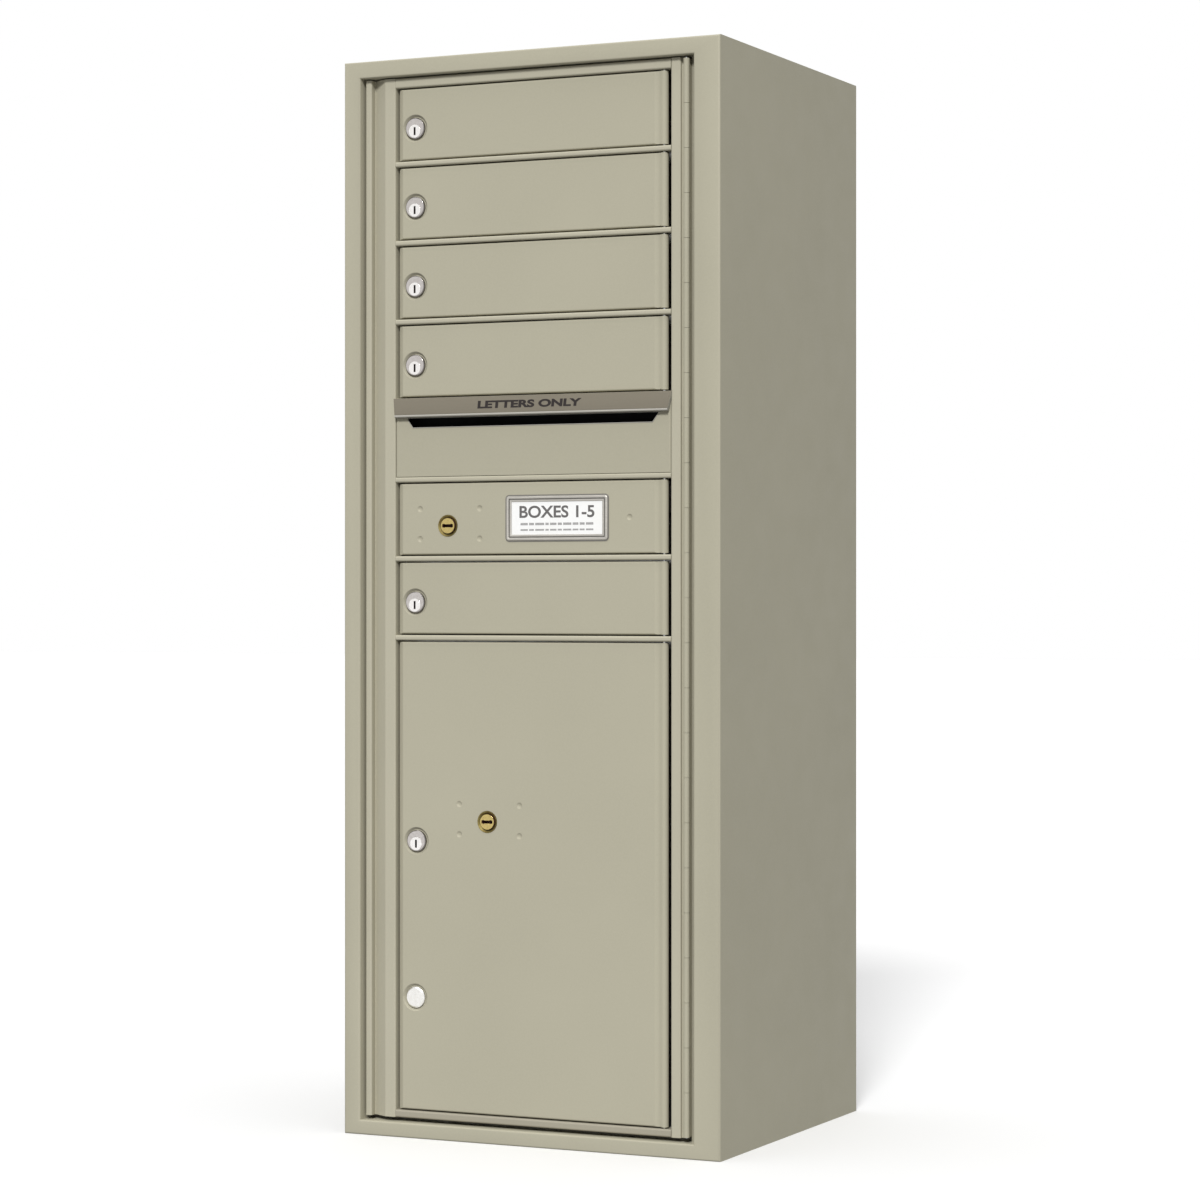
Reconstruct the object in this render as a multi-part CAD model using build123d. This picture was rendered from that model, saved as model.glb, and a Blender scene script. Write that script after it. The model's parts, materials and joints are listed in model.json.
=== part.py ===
from build123d import *
import os

# Cluster mailbox unit: one column of front-loading compartments on a 3.5 inch grid.
# A sheet-metal cabinet of shelves stands in a surface-mount collar.  The whole front is a
# master door on a right-hand continuous hinge.  It carries five tenant doors, a parcel door,
# a fixed outgoing-mail panel and a fixed panel with the carrier's lock.
#
# Millimetres.  X runs to the right seen from the front, Y into the wall, Z up.
# The origin is the middle of the footprint, on the floor.

# ---------------------------------------------------------------- overall size and grid
WIDTH = 464.0
DEPTH = 406.0
HEIGHT = 1213.0
MODULE = 88.9                      # one compartment unit, 3.5 inch
FIRST_LEVEL = 28.6                 # height of the lowest module line
TOP_LEVEL = 13
PARCEL_LEVEL = 6                   # module line above the parcel door
LOCK_PANEL_LEVEL = 7               # module line under the carrier's lock panel
OUTGOING_LEVEL = 8                 # module line under the outgoing-mail panel
TENANT_LEVELS = (12, 11, 10, 9, 6)  # module line under each tenant door, from the top
BAR_LEVELS = (12, 11, 10, 9, 8, 7, 6)
SHELF_LEVELS = (12, 11, 10, 9, 7, 6)

LEFT_X = -WIDTH / 2
RIGHT_X = WIDTH / 2
FRONT_Y = -DEPTH / 2
BACK_Y = DEPTH / 2

# ---------------------------------------------------------------- sheet metal
HEAVY = 2.0                        # collar and cabinet panels
DOOR_SHEET = 1.5
SHELF_SHEET = 1.2
BEND = 1.25                        # centre-line bend radius
PAST = 1.0                         # cutting shapes run past a surface by this much

# ---------------------------------------------------------------- collar
FLANGE_LEFT = 20.5                 # widths of the visible front flanges
FLANGE_RIGHT = 31.6
FLANGE_TOP = 19.0
FLANGE_BOTTOM = 16.5
LIP_DEPTH = 24.0                   # how far the flanges' inner lips reach back
SCREW_HEAD_R = 3.4
SCREW_R = 1.7
SCREW_REACH = 6.0
SCREW_FIT = 0.03
SCREW_SET_BACK = 20.0              # from the collar's front
SCREW_ACROSS = (-120.0, 0.0, 120.0)
SCREW_LEVELS = (1.5, 4.5, 6.5, 9.5, 12.5)

# ---------------------------------------------------------------- master door frame
MASTER_Y = FRONT_Y + 8.0           # front plane of stiles, rails and bars
MASTER_LEFT_X = -208.8
MASTER_RIGHT_X = 187.8
MASTER_Z = (21.2, 1192.5)
OPENING_X = 170.25                 # half width of the door openings
OPENING_BOTTOM_Z = 29.5
OUTER_RETURN = 10.0                # depth of the frame's outer edges
INNER_RETURN = 16.0                # depth of the frame's inner edges
FRAME_REAR_Y = MASTER_Y + INNER_RETURN
LEFT_GROOVE_X = -201.0             # left edge of the left stile's channel
LEFT_GROOVE_DEEP = 10.0            # the channel is deepest at its left edge
LEFT_RAMP_X = -183.0               # its sloping floor comes back up to the front plane here
RIGHT_STEP = 4.0
RIGHT_STEP_X = 182.0               # the right stile steps back to carry the hinge
BAR_TALL = 6.0
BAR_ROUND = 2.2

# ---------------------------------------------------------------- continuous hinge
HINGE_X = 189.5
HINGE_Y = MASTER_Y - 1.0
HINGE_BARREL_R = 3.4
HINGE_PIN_R = 1.3
HINGE_LEAF = 1.4
HINGE_LEAF_GAP = 0.6
HINGE_LEAF_DEEP = 20.0
HINGE_KNUCKLES = 24
HINGE_MARGIN = 1.5                 # from the ends of the master door
RUNNING_GAP = 0.05                 # radial clearance of a pin in its bore
SIDE_GAP = 0.3                     # clearance between neighbouring knuckles and leaves

# ---------------------------------------------------------------- doors
DOOR_Y = MASTER_Y + 2.5            # front plane of the doors
DOOR_LEFT_X = -OPENING_X + 2.5
DOOR_GAP = 1.5                     # above and below each door
DOOR_RETURN = 11.5                 # depth of the pan's folded edges
DOOR_BEVEL = (5.8, 3.2)            # width and depth of the slope along a door's free edge
DOOR_BEVEL_INSIDE = (4.7, 2.6)     # the same slope on the inside of the sheet
DOOR_BEVEL_ROUND = 1.2             # rounding of the slope's two corners
DOOR_EDGE_ROUND = 2.0
CURL_R = 4.6
CURL_X = OPENING_X - 10.4
CURL_Y = DOOR_Y + 4.3
FLUTE_X = CURL_X - 6.0             # shallow flute beside the curl
FLUTE_R = 9.0
FLUTE_DEEP = 0.95
DOOR_PIN_R = 1.6
PIN_GRIP = 2.2                     # how far each door pin enters the frame
PIN_END_ROOM = 0.1
TAB_TALL = 14.0                    # fixing tabs of the lock panel
TAB_INSET = 2.0

# ---------------------------------------------------------------- cam locks
LOCK_X = -146.3
LOCK_DROP = 4.5                    # lock centre below the middle of a tenant door
PARCEL_LOCK_X = -144.6
PARCEL_LOCK_Z = 333.4
CAP_Z = 157.2                      # blank cap, under the parcel lock
HEAD_R = 12.0
HEAD_PROUD = 1.0
HEAD_BEVEL = 0.9
DISH_R = 15.5
DISH_DEEP = 2.6
DISH_FLOOR_R = 13.0
BARREL_R = 9.4
BARREL_NUT_FLATS = 24.0
BARREL_NUT = 4.0
BARREL_ROOM = 0.2                  # round the barrel in the door's hole
BARREL_END_GAP = 0.4               # between the barrel and the cam
PLUG_R = 5.5
PLUG_FACE_R = 7.4                  # the plug's broad front face, sunk in the head
PLUG_FACE = 1.2
PLUG_DROP = 3.2                    # plug axis below the head's centre
PLUG_PROUD = 0.3
KEYWAY = (2.4, 9.0)                # width and height
KEYWAY_DEEP = 8.0
CAP_CROWN = 0.3
CAM_Y = FRAME_REAR_Y + 0.5
CAM_THICK = 1.8
CAM_REACH = 31.0
CAM_ROOT_R = 8.0
CAM_TIP_R = 6.0
TAIL_SIDE = 6.0
TAIL_SCREW_R = 4.0
TAIL_SCREW = 2.0

# ---------------------------------------------------------------- carrier locks
ARROW_AXIS = (-104.6, 687.6)       # plug axis of the lock that frees the master door
CONTROL_AXIS = (-55.0, 357.1)      # plug axis of the carrier's lock on the parcel door
CASE_OFFSET = (2.4, 2.2)           # case centre from the plug's axis
CASE_SIZE = (90.0, 46.0)
CASE_CORNER = 3.0
CASE_DEEP = 20.0
STUD_HALF = (37.6, 16.9)           # half spacings of the four studs
STUD_R = 2.0
STUD_HOLE_R = 2.3
STUD_PAST_NUT = 1.2
NUT_FLATS = 7.0
NUT_THICK = 3.2
DIMPLE_R = 5.0                     # sphere that makes the mark over each stud
DIMPLE_DEEP = 1.4
SPARE_STUD_X = 119.8
SLEEVE_R = 12.0
SLEEVE_HOLE_R = 12.3
SLEEVE_RIM = 0.3                   # flat ring left in front of the conical recess
SLEEVE_PROUD = 0.6
SLEEVE_CONE = 2.6                  # depth of the conical recess round the plug
ARROW_PLUG_R = 8.5
ARROW_PLUG_ROOM = 0.12             # radial clearance of the plug in its case
ARROW_KEYWAY = (13.6, 3.4)
ARROW_KEYWAY_LOBE_R = 2.2
ARROW_KEYWAY_DEEP = 9.0
BOLT_Y = FRAME_REAR_Y + 1.0
BOLT_THICK = 3.0
BOLT_TALL = 16.0
BOLT_TRAVEL = 9.5
BOLT_ROOM = 0.3
BOLT_CHAMFER = 2.0
BOLT_HEEL = 9.0                    # from the plug's axis to the bolt's right end
ARROW_BOLT_TIP_X = -208.5
CONTROL_BOLT_TIP_X = -165.5
CRANK = BOLT_TRAVEL / 2            # crank pin's offset from the axis, right and down, at rest
CRANK_PIN_R = 1.5
NOTCH_HALF = 2.0

# ---------------------------------------------------------------- outgoing slot, hood, label
OUTGOING_Y = MASTER_Y + 0.8
OUTGOING_RETURN = 10.0
OUTLINE_GAP = 0.35
SLOT_Z = (798.0, 809.0)
SLOT_HALF = (148.2, 156.2)         # half widths at the slot's bottom and top
SLOT_CORNER = 1.5
HOOD_HALF = (168.2, 172.0)         # half widths at the hood's bottom and top
HOOD_TOP_Z = 831.4
HOOD_LIP_Z = 812.7                 # the sloping face ends here and the upright lip begins
HOOD_BOTTOM_Z = 809.8
HOOD_PROUD = (1.2, 6.0)            # at its top edge and at its lip
HOOD_WALL = 1.5
BAFFLE_HALF = 160.0
BAFFLE_ABOVE_SLOT = (2.0, 9.0, 12.0)  # its flange's lower edge, its rear fold and its top
BAFFLE_BEHIND = (12.0, 20.0)       # its rear fold and its lower edge, behind the panel
BAFFLE_BELOW_SLOT = 10.0
LABEL_AT = (31.5, 695.0)
LABEL_SIZE = (127.0, 52.0)
LABEL_PROUD = 2.0
LABEL_ROUND = 4.0
LABEL_EDGE = 0.8
LABEL_STEP = (5.0, 0.7, 1.0)       # step round the window: extra size, depth, corner radius
CARD_WINDOW = (110.8, 36.8)
CARD_SIZE = (113.6, 39.6)
CARD_THICK = 0.5
CARD_ROOM = 0.2

# ---------------------------------------------------------------- cabinet
WALL_X = OPENING_X + 1.75          # inner face of the compartment walls
JAMB_REAR_Y = MASTER_Y + 25.0      # rear face of the step behind the master door
JAMB_FRONT_Y = MASTER_Y + 3.0
HAT_FRONT_Y = MASTER_Y + 7.0       # front of the fold between the hinge jamb and the collar's lip
JAMB_LEFT_X = LEFT_X + FLANGE_LEFT - HEAVY
JAMB_RIGHT_X = HINGE_X + HINGE_LEAF_GAP / 2 + HINGE_LEAF
JAMB_Z = (FLANGE_BOTTOM - HEAVY, HEIGHT - FLANGE_TOP + HEAVY)
CABINET_REAR_Y = BACK_Y - HEAVY
STRIKE_ROOM = 1.0                  # round the bolt in its slot in the jamb
SHELF_LIP = 12.0
SHELF_SET_BACK = 4.0               # from the rear of the jambs' step
SHELF_FLANGE_SHORT = (3.0, 10.0)   # each side flange stops short in front and behind
WALL_HOLE_R = 4.5
WALL_HOLE_X = 130.0
WALL_HOLE_Z = (120.0, 1140.0)

UP_FROM_BASE = (Align.CENTER, Align.CENTER, Align.MIN)
CORNER = (Align.MIN, Align.MIN, Align.MIN)


# ================================================================ shared shapes
def level(index):
    """Height of a module line, counted from the bottom."""
    return FIRST_LEVEL + MODULE * index


def module_edges(index, gap):
    """Lower and upper edge of a panel that fills one module's opening, less a gap."""
    return level(index) + BAR_TALL / 2 + gap, level(index + 1) - BAR_TALL / 2 - gap


def block(x, y, z):
    """Box between two limits on each axis."""
    return Pos(x[0], y[0], z[0]) * Box(x[1] - x[0], y[1] - y[0], z[1] - z[0], align=CORNER)


def rod(x, z, radius, y):
    """Cylinder along Y between two depths."""
    return Pos(x, y[0], z) * Rot(-90, 0, 0) * Cylinder(radius, y[1] - y[0], align=UP_FROM_BASE)


def upright(x, y, radius, z):
    """Cylinder along Z between two heights."""
    return Pos(x, y, z[0]) * Cylinder(radius, z[1] - z[0], align=UP_FROM_BASE)


def slab(outline, y):
    """Plate of an outline drawn as (x, z), between two depths."""
    face_plane = Plane((0, y[0], 0), x_dir=(1, 0, 0), z_dir=(0, -1, 0))
    return extrude(face_plane * outline, -(y[1] - y[0]))


def turned(profile, x, y, z):
    """Solid of revolution about an axis along Y; the profile is (radius, depth) points."""
    return Pos(x, y, z) * revolve(make_face(Polyline(*profile, close=True)), Axis.Y)


def hex_nut(x, z, flats, y, bore):
    """Hexagonal nut round a stud or barrel that runs along Y."""
    outline = Pos(x, z) * RegularPolygon(flats / 2, 6, major_radius=False)
    return slab(outline, y) - rod(x, z, bore, (y[0] - PAST, y[1] + PAST))


def sheet_band(points, thickness, bend):
    """Cross-section of a folded sheet along its centre line."""
    return trace(FilletPolyline(*points, radius=bend), line_width=thickness)


def folded_upright(points, thickness, z, bend=BEND):
    """Folded sheet with one plan section; the points are (x, y)."""
    return extrude(Pos(0, 0, z[0]) * sheet_band(points, thickness, bend), z[1] - z[0])


def folded_across(points, thickness, x, bend=BEND):
    """Folded sheet with one side section; the points are (y, z)."""
    return extrude(Plane.YZ.offset(x[0]) * sheet_band(points, thickness, bend), x[1] - x[0])


def save(name, *shapes):
    """Writes one named piece, or one named group of separate solids."""
    solids = [solid for shape in shapes for solid in shape.solids()]
    export_step(solids[0] if len(solids) == 1 else Compound(children=solids), f"parts/{name}.step")


# ================================================================ collar
def screw_places():
    """Seats of the flush screws that hold the collar's lips to the cabinet's jambs."""
    seat_y = FRONT_Y + SCREW_SET_BACK
    places = []
    for height in [level(index) for index in SCREW_LEVELS]:
        places.append(Pos(LEFT_X + FLANGE_LEFT, seat_y, height) * Rot(0, -90, 0))
        places.append(Pos(RIGHT_X - FLANGE_RIGHT - HEAVY, seat_y, height) * Rot(0, 90, 0))
    for across in SCREW_ACROSS:
        places.append(Pos(across, seat_y, HEIGHT - FLANGE_TOP))
        places.append(Pos(across, seat_y, FLANGE_BOTTOM) * Rot(180, 0, 0))
    return places


def screw(extra=0.0):
    """Countersunk screw along +Z, with its flat head at the origin."""
    head = Cone(SCREW_HEAD_R + extra, SCREW_R + extra, SCREW_R, align=UP_FROM_BASE)
    return head + Cylinder(SCREW_R + extra, SCREW_REACH + extra, align=UP_FROM_BASE)


def drilled(panel):
    """The panel with its screw holes."""
    box = panel.bounding_box()
    for place in screw_places():
        at = place.position
        if box.min.X - SCREW_REACH < at.X < box.max.X + SCREW_REACH:
            if box.min.Z - SCREW_REACH < at.Z < box.max.Z + SCREW_REACH:
                panel -= place * screw(SCREW_FIT)
    return panel


def collar_side(sign, flange):
    """Side wall, front flange and inner lip, folded from one sheet."""
    wall = sign * (WIDTH - HEAVY) / 2
    lip = sign * (WIDTH / 2 - flange + HEAVY / 2)
    front = FRONT_Y + HEAVY / 2
    path = [(wall, BACK_Y), (wall, front), (lip, front), (lip, FRONT_Y + LIP_DEPTH)]
    side = folded_upright(path, HEAVY, (0, HEIGHT))
    # the lip stops short of the top and bottom walls
    lip_x = sorted((sign * (WIDTH / 2 - HEAVY), sign * (WIDTH / 2 - flange - PAST)))
    lip_y = (FRONT_Y + HEAVY, FRONT_Y + LIP_DEPTH + PAST)
    side -= block(lip_x, lip_y, (-PAST, JAMB_Z[0]))
    side -= block(lip_x, lip_y, (JAMB_Z[1], HEIGHT + PAST))
    return drilled(side)


def collar_level(outside_z, inside_z, lip_z):
    """Top or bottom wall with its flange and lip, fitted between the side panels."""
    wall = (outside_z + inside_z) / 2
    front = FRONT_Y + HEAVY / 2
    half = WIDTH / 2 - HEAVY
    panel = block((-half, half), (FRONT_Y + HEAVY, BACK_Y), sorted((outside_z, inside_z)))
    path = [(0, wall), (front, wall), (front, lip_z), (FRONT_Y + LIP_DEPTH, lip_z)]
    panel += folded_across(path, HEAVY, (LEFT_X + FLANGE_LEFT, RIGHT_X - FLANGE_RIGHT))
    return drilled(panel)


def make_collar():
    save("collar_left", collar_side(-1, FLANGE_LEFT))
    save("collar_right", collar_side(1, FLANGE_RIGHT))
    save("collar_top", collar_level(HEIGHT, HEIGHT - HEAVY, HEIGHT - FLANGE_TOP + HEAVY / 2))
    save("collar_bottom", collar_level(0, HEAVY, FLANGE_BOTTOM - HEAVY / 2))
    save("collar_screws", *[place * screw() for place in screw_places()])


# ================================================================ cabinet
def cabinet_left_side():
    """Compartment wall, step and jamb; the jamb has the slot for the carrier's bolt."""
    jamb = JAMB_LEFT_X - HEAVY / 2
    step = JAMB_REAR_Y - HEAVY / 2
    wall = -WALL_X - HEAVY / 2
    side = folded_upright([(jamb, JAMB_FRONT_Y), (jamb, step), (wall, step), (wall, CABINET_REAR_Y)],
                          HEAVY, JAMB_Z)
    reach = BOLT_TALL / 2 + STRIKE_ROOM
    side -= block((JAMB_LEFT_X - HEAVY - PAST, JAMB_LEFT_X + PAST),
                  (BOLT_Y - STRIKE_ROOM, BOLT_Y + BOLT_THICK + STRIKE_ROOM),
                  (ARROW_AXIS[1] - reach, ARROW_AXIS[1] + reach))
    return drilled(side)


def cabinet_right_side():
    """Compartment wall, step, hinge jamb and the hat fold that meets the collar's lip."""
    hat = RIGHT_X - FLANGE_RIGHT - HEAVY / 2
    hat_front = HAT_FRONT_Y + HEAVY / 2
    jamb = JAMB_RIGHT_X + HEAVY / 2
    step = JAMB_REAR_Y - HEAVY / 2
    wall = WALL_X + HEAVY / 2
    path = [(hat, FRONT_Y + LIP_DEPTH), (hat, hat_front), (jamb, hat_front), (jamb, step)]
    path += [(wall, step), (wall, CABINET_REAR_Y)]
    side = folded_upright(path, HEAVY, JAMB_Z)
    # the hinge jamb stops short of the collar's top and bottom lips
    front_x = (JAMB_RIGHT_X - PAST, RIGHT_X - FLANGE_RIGHT + PAST)
    front_y = (HAT_FRONT_Y - PAST, FRONT_Y + LIP_DEPTH)
    side -= block(front_x, front_y, (0, FLANGE_BOTTOM))
    side -= block(front_x, front_y, (HEIGHT - FLANGE_TOP, HEIGHT))
    return drilled(side)


def cabinet_level(jamb_z, wall_z, outward):
    """Cabinet top or floor, with its step and a jamb of full width; outward is +1 or -1."""
    middle = outward * HEAVY / 2
    step = JAMB_REAR_Y - HEAVY / 2
    path = [(JAMB_FRONT_Y, jamb_z + middle), (step, jamb_z + middle)]
    path += [(step, wall_z + middle), (CABINET_REAR_Y, wall_z + middle)]
    panel = folded_across(path, HEAVY, (-WALL_X, WALL_X))
    jamb_span = sorted((jamb_z, jamb_z + outward * HEAVY))
    jamb_y = (JAMB_FRONT_Y, JAMB_REAR_Y - HEAVY)
    panel += block((JAMB_LEFT_X - HEAVY, -WALL_X), jamb_y, jamb_span)
    panel += block((WALL_X, RIGHT_X - FLANGE_RIGHT), jamb_y, jamb_span)
    return drilled(panel)


def back_panel():
    """Flat back, flush with the collar's rear edges, with four wall-bolt holes."""
    half = WIDTH / 2 - HEAVY
    panel = block((-half, half), (CABINET_REAR_Y, BACK_Y), (HEAVY, HEIGHT - HEAVY))
    for across in (-WALL_HOLE_X, WALL_HOLE_X):
        for height in WALL_HOLE_Z:
            panel -= rod(across, height, WALL_HOLE_R, (CABINET_REAR_Y - PAST, BACK_Y + PAST))
    return panel


def shelf(height):
    """Shelf with a folded front lip and two folded side flanges."""
    front = JAMB_REAR_Y + SHELF_SET_BACK
    middle = height - SHELF_SHEET / 2
    path = [(front, height - SHELF_LIP), (front, middle), (CABINET_REAR_Y, middle)]
    tray = folded_across(path, SHELF_SHEET, (-WALL_X, WALL_X))
    flange_y = (front + SHELF_FLANGE_SHORT[0], CABINET_REAR_Y - SHELF_FLANGE_SHORT[1])
    flange_z = (height - SHELF_LIP, height - SHELF_SHEET)
    tray += block((-WALL_X, -WALL_X + SHELF_SHEET), flange_y, flange_z)
    tray += block((WALL_X - SHELF_SHEET, WALL_X), flange_y, flange_z)
    return tray


def make_cabinet():
    save("cabinet_left_side", cabinet_left_side())
    save("cabinet_right_side", cabinet_right_side())
    save("cabinet_top", cabinet_level(HEIGHT - FLANGE_TOP + HEAVY, level(TOP_LEVEL), 1))
    save("cabinet_floor", cabinet_level(FLANGE_BOTTOM - HEAVY, FIRST_LEVEL, -1))
    save("back_panel", back_panel())
    save("compartment_shelves", *[shelf(level(index)) for index in SHELF_LEVELS])


# ================================================================ continuous hinge
def hinge_knuckles(side):
    """Heights of every second knuckle; side 0 is the cabinet's set and 1 the door's."""
    low = MASTER_Z[0] + HINGE_MARGIN
    pitch = (MASTER_Z[1] - HINGE_MARGIN - low) / HINGE_KNUCKLES
    return [(low + pitch * index, low + pitch * (index + 1) - SIDE_GAP)
            for index in range(side, HINGE_KNUCKLES, 2)]


def hinge_leaf(sign, side):
    """One leaf of the hinge with its knuckles; sign is +1 for the cabinet's leaf."""
    near = HINGE_X + sign * HINGE_LEAF_GAP / 2
    leaf_x = sorted((near, near + sign * HINGE_LEAF))
    plate_y = HINGE_Y + HINGE_BARREL_R + SIDE_GAP
    leaf_z = (MASTER_Z[0] + HINGE_MARGIN, MASTER_Z[1] - HINGE_MARGIN)
    leaf = block(leaf_x, (plate_y, plate_y + HINGE_LEAF_DEEP), leaf_z)
    for span in hinge_knuckles(side):
        leaf += block(leaf_x, (HINGE_Y, plate_y), span) + upright(HINGE_X, HINGE_Y, HINGE_BARREL_R, span)
    return leaf - upright(HINGE_X, HINGE_Y, HINGE_PIN_R + RUNNING_GAP, (0, HEIGHT))


def make_hinge():
    save("hinge_leaf_fixed", hinge_leaf(1, 0))
    save("hinge_leaf_moving", hinge_leaf(-1, 1))
    pin_z = (MASTER_Z[0] + HINGE_MARGIN / 2, MASTER_Z[1] - HINGE_MARGIN / 2)
    save("hinge_pin", upright(HINGE_X, HINGE_Y, HINGE_PIN_R, pin_z))


# ================================================================ master door frame
def left_stile():
    """Left upright: outer bead, channel with a long sloping floor, inner bead."""
    half = DOOR_SHEET / 2
    front = MASTER_Y + half
    path = [
        (MASTER_LEFT_X + half, MASTER_Y + OUTER_RETURN),
        (MASTER_LEFT_X + half, front),
        (LEFT_GROOVE_X - half, front),
        (LEFT_GROOVE_X - half, front + LEFT_GROOVE_DEEP),
        (LEFT_RAMP_X, front),
        (-OPENING_X - half, front),
        (-OPENING_X - half, FRAME_REAR_Y),
    ]
    return folded_upright(path, DOOR_SHEET, MASTER_Z)


def right_stile():
    """Right upright: inner bead and a step back that carries the hinge leaf."""
    half = DOOR_SHEET / 2
    front = MASTER_Y + half
    path = [
        (OPENING_X + half, FRAME_REAR_Y),
        (OPENING_X + half, front),
        (RIGHT_STEP_X - half, front),
        (RIGHT_STEP_X - half, front + RIGHT_STEP),
        (MASTER_RIGHT_X - half, front + RIGHT_STEP),
        (MASTER_RIGHT_X - half, HINGE_Y + HINGE_LEAF_DEEP),
    ]
    return folded_upright(path, DOOR_SHEET, MASTER_Z)


def rail(inner_z, outer_z):
    """Top or bottom rail between the stiles, open towards the rear."""
    inward = 1 if inner_z < outer_z else -1
    half = DOOR_SHEET / 2
    path = [
        (FRAME_REAR_Y, inner_z + inward * half),
        (MASTER_Y + half, inner_z + inward * half),
        (MASTER_Y + half, outer_z - inward * half),
        (MASTER_Y + OUTER_RETURN, outer_z - inward * half),
    ]
    channel = folded_across(path, DOOR_SHEET, (-OPENING_X, OPENING_X))
    pin_z = sorted((inner_z - inward, inner_z + inward * (PIN_GRIP + PAST)))
    return channel - upright(CURL_X, CURL_Y, DOOR_PIN_R + RUNNING_GAP, pin_z)


def cross_bar(height):
    """Extruded bar between two openings, round in front, with pin holes above and below."""
    bar_z = (height - BAR_TALL / 2, height + BAR_TALL / 2)
    bar = block((-OPENING_X, OPENING_X), (MASTER_Y, FRAME_REAR_Y), bar_z)
    front_edges = bar.edges().filter_by(Axis.X).group_by(Axis.Y)[0]
    bar = fillet(front_edges, BAR_ROUND)
    hole_deep = PIN_GRIP + PIN_END_ROOM
    bar -= upright(CURL_X, CURL_Y, DOOR_PIN_R + RUNNING_GAP, (bar_z[0] - PAST, bar_z[0] + hole_deep))
    bar -= upright(CURL_X, CURL_Y, DOOR_PIN_R + RUNNING_GAP, (bar_z[1] - hole_deep, bar_z[1] + PAST))
    return bar


def door_pin(edges):
    """Hinge pin through a door's curl into the frame above and below it."""
    reach = DOOR_GAP + PIN_GRIP
    return upright(CURL_X, CURL_Y, DOOR_PIN_R, (edges[0] - reach, edges[1] + reach))


def make_master_door():
    opening_top_z = level(TOP_LEVEL) - BAR_TALL / 2
    save("master_left_stile", left_stile())
    save("master_right_stile", right_stile())
    save("master_top_rail", rail(opening_top_z, MASTER_Z[1]))
    save("master_bottom_rail", rail(OPENING_BOTTOM_Z, MASTER_Z[0]))
    save("master_cross_bars", *[cross_bar(level(index)) for index in BAR_LEVELS])
    hung = [module_edges(index, DOOR_GAP) for index in TENANT_LEVELS + (LOCK_PANEL_LEVEL,)]
    hung.append(parcel_edges())
    save("door_hinge_pins", *[door_pin(edges) for edges in hung])


# ================================================================ door pans and their holes
def parcel_edges():
    """Lower and upper edge of the parcel door."""
    return OPENING_BOTTOM_Z + DOOR_GAP, level(PARCEL_LEVEL) - BAR_TALL / 2 - DOOR_GAP


def tray(x, y, edges, bevel, edge_round):
    """Upright slab whose front face slopes back along its left edge and has rounded long edges."""
    plan = make_face(Polyline((x[0], y[0] + bevel[1]), (x[0] + bevel[0], y[0]), (x[1], y[0]),
                              (x[1], y[1]), (x[0], y[1]), close=True))
    corners = plan.vertices().filter_by_position(Axis.X, x[0], x[0] + bevel[0])
    plan = fillet(corners.sort_by(Axis.Y)[:2], DOOR_BEVEL_ROUND)
    side = make_face(Polyline((y[0], edges[0]), (y[0], edges[1]), (y[1], edges[1]), (y[1], edges[0]),
                              close=True))
    side = fillet(side.vertices().group_by(Axis.X)[0], edge_round)
    slab_of_plan = extrude(Pos(0, 0, edges[0]) * plan, edges[1] - edges[0])
    return slab_of_plan & extrude(Plane.YZ.offset(x[0]) * side, x[1] - x[0])


def door_pan(edges):
    """Folded pan: sloped left edge, flat face, and a flute and a curl for the pin on the right."""
    rear = DOOR_Y + DOOR_RETURN
    pan = tray((DOOR_LEFT_X, CURL_X), (DOOR_Y, rear), edges, DOOR_BEVEL, DOOR_EDGE_ROUND)
    inside_z = (edges[0] + DOOR_SHEET, edges[1] - DOOR_SHEET)
    pan -= tray((DOOR_LEFT_X + DOOR_SHEET, CURL_X + PAST), (DOOR_Y + DOOR_SHEET, rear + PAST), inside_z,
                DOOR_BEVEL_INSIDE, DOOR_EDGE_ROUND / 2)
    pan -= block((CURL_X - 2 * CURL_R, CURL_X + PAST), (DOOR_Y + DOOR_SHEET, rear + PAST),
                 (edges[0] - PAST, edges[1] + PAST))
    pan += upright(CURL_X, CURL_Y, CURL_R, edges)
    pan -= upright(FLUTE_X, DOOR_Y - FLUTE_R + FLUTE_DEEP, FLUTE_R, (edges[0] - PAST, edges[1] + PAST))
    return pan - upright(CURL_X, CURL_Y, DOOR_PIN_R + 2 * RUNNING_GAP, edges)


def with_lock_dish(pan, x, z):
    """The pan with a dished seat for a round lock head."""
    rear = DISH_DEEP + DOOR_SHEET
    bore = BARREL_R + BARREL_ROOM
    pan -= rod(x, z, DISH_R, (DOOR_Y - PAST, DOOR_Y + 3 * DOOR_SHEET))
    seat = [(DISH_R, 0), (DISH_FLOOR_R, DISH_DEEP), (bore, DISH_DEEP), (bore, rear)]
    seat += [(DISH_FLOOR_R + DOOR_SHEET / 2, rear), (DISH_R, DOOR_SHEET)]
    return pan + turned(seat, x, DOOR_Y, z)


def with_stud(pan, x, z, length):
    """The pan with a welded stud behind it and the faint mark that it leaves in front."""
    pan += rod(x, z, STUD_R, (DOOR_Y + DOOR_SHEET / 2, DOOR_Y + DOOR_SHEET + length))
    return pan - Pos(x, DOOR_Y - DIMPLE_R + DIMPLE_DEEP, z) * Sphere(DIMPLE_R)


def stud_places(axis):
    """The four studs round a carrier lock whose plug is on this axis."""
    across = axis[0] + CASE_OFFSET[0]
    height = axis[1] + CASE_OFFSET[1]
    return [(across + side * STUD_HALF[0], height + end * STUD_HALF[1])
            for side in (-1, 1) for end in (-1, 1)]


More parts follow.
